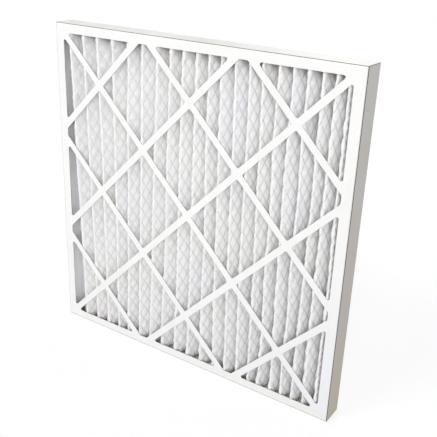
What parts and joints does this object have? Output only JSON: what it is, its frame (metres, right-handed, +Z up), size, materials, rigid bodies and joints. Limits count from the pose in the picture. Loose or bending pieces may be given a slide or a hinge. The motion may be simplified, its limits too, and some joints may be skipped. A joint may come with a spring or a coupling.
{
  "type": "pleated panel air filter",
  "caption": "Square disposable air filter: pleated white media on an expanded-metal grid, held in a thin double-walled board frame with crossed diagonal straps.",
  "frame": {"origin": "middle of the bottom edge on which the filter stands, at the bottom centre of its box", "axes": "+X to the right across the face as it is seen from the front, +Y through the filter from the air-leaving face with the metal grid at -Y to the air-entering face, +Z up along the pleats"},
  "size_m": [0.594, 0.0446, 0.594],
  "materials": {
    "front_board": "smooth clay-coated white board, grey-brown at its cut edges",
    "back_board": "smooth clay-coated white board, grey-brown at its cut edges",
    "media": "soft matte white non-woven of polyester and cotton fibres",
    "grid": "dull galvanised expanded steel",
    "adhesive": "dried off-white water-based adhesive"
  },
  "bodies": {
    "root": {"front_tray": "front_board", "back_tray": "back_board", "pleated_media": "media", "expanded_metal_grid": "grid", "glue_bead_top": "adhesive", "glue_bead_bottom": "adhesive", "glue_bead_left": "adhesive", "glue_bead_right": "adhesive"}
  },
  "joints": []
}
